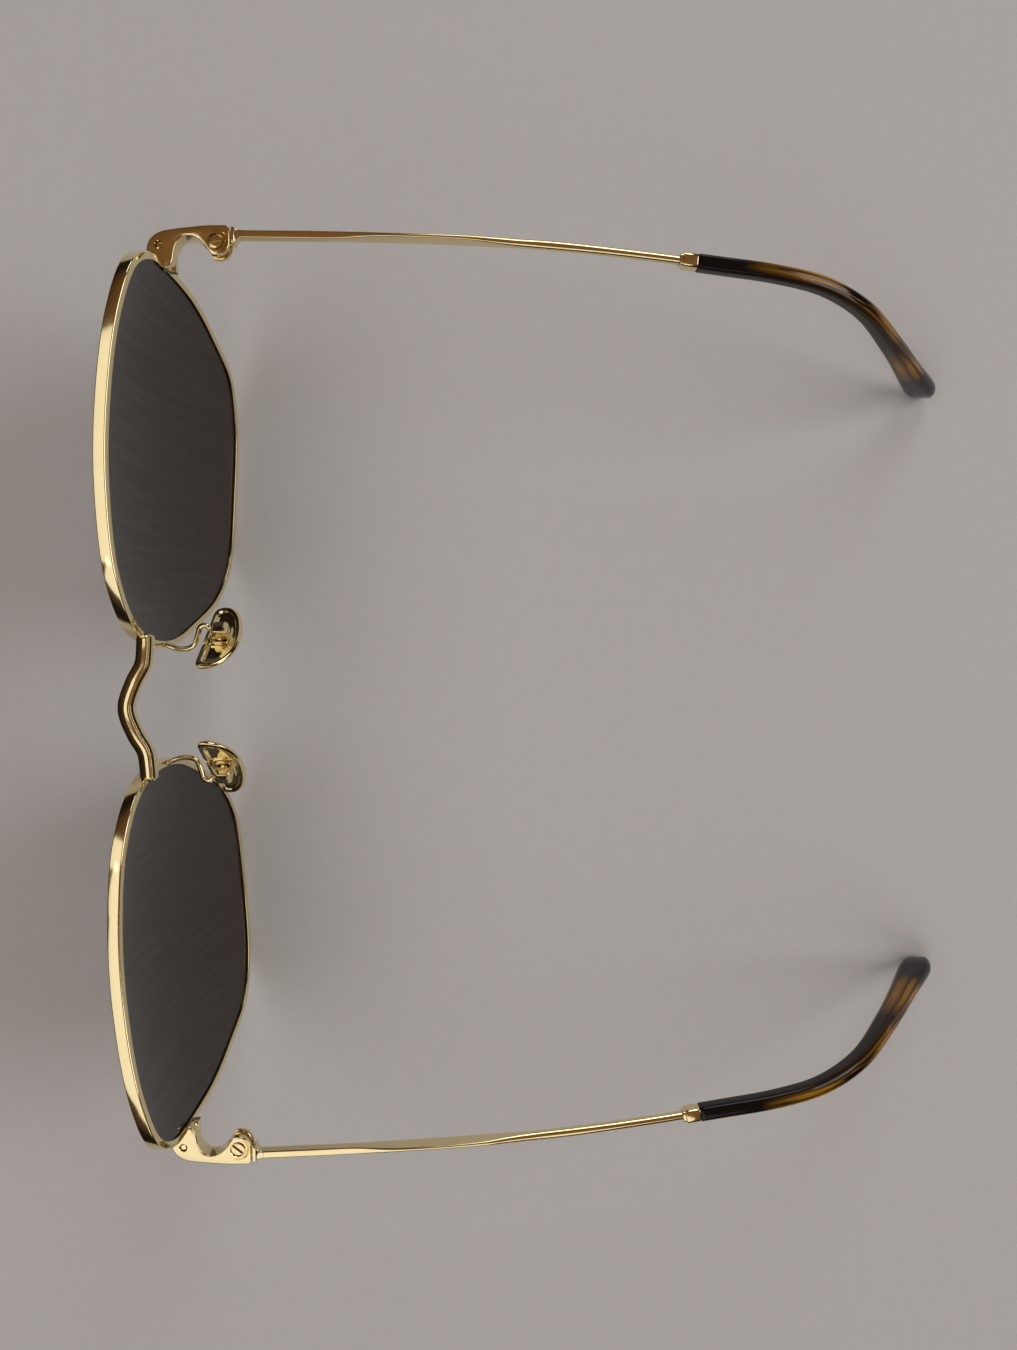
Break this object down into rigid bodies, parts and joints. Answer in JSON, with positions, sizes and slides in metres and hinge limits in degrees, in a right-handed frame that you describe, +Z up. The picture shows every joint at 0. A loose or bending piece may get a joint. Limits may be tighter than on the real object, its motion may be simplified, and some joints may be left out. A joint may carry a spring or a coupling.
{
  "type": "sunglasses",
  "caption": "Metal-framed sunglasses with dark lenses in thin gold rims, metal nose pads, folding wire temples and tortoise plastic ear tips.",
  "frame": {"origin": "on the table, under the middle of the open frame's bounding box", "axes": "+Z up from the lower rims to the brow, +Y from the lenses back along the temples, +X towards the wearer's left"},
  "size_m": [0.142, 0.1416, 0.0486],
  "materials": {
    "gold": "polished pale gold plating on nickel silver wire and plate",
    "lens": "dark smoke grey-brown tint, polished, slightly see-through",
    "tortoise": "near-black brown acetate with amber tortoise streaks, polished"
  },
  "bodies": {
    "front": {"bridge": "gold", "left_eyewire": "gold", "left_lens": "lens", "left_endpiece": "gold", "left_rim_lock": "gold", "left_rim_screw": "gold", "left_hinge_screw": "gold", "left_pad_arm": "gold", "left_pad_box": "gold", "left_pad_screw": "gold", "right_eyewire": "gold", "right_lens": "lens", "right_endpiece": "gold", "right_rim_lock": "gold", "right_rim_screw": "gold", "right_hinge_screw": "gold", "right_pad_arm": "gold", "right_pad_box": "gold", "right_pad_screw": "gold"},
    "left_temple": {"left_temple_hinge": "gold", "left_temple": "gold", "left_collar": "gold", "left_temple_tip": "tortoise"},
    "right_temple": {"right_temple_hinge": "gold", "right_temple": "gold", "right_collar": "gold", "right_temple_tip": "tortoise"},
    "left_pad": {"left_nose_pad": "gold"},
    "right_pad": {"right_nose_pad": "gold"}
  },
  "joints": [
    {"name": "left_temple_fold", "type": "hinge", "parent": "front", "child": "left_temple", "pos_m": [0.0686, -0.05572, 0.035], "axis": [0, 0, 1], "range_deg": [0, 85]},
    {"name": "right_temple_fold", "type": "hinge", "parent": "front", "child": "right_temple", "pos_m": [-0.0686, -0.05572, 0.035], "axis": [0, 0, -1], "range_deg": [0, 81]},
    {"name": "left_pad_rock", "type": "hinge", "parent": "front", "child": "left_pad", "pos_m": [0.01111, -0.05742, 0.0322], "axis": [0, 1, 0], "range_deg": [-8, 8]},
    {"name": "right_pad_rock", "type": "hinge", "parent": "front", "child": "right_pad", "pos_m": [-0.01111, -0.05742, 0.0322], "axis": [0, 1, 0], "range_deg": [-8, 8]}
  ]
}
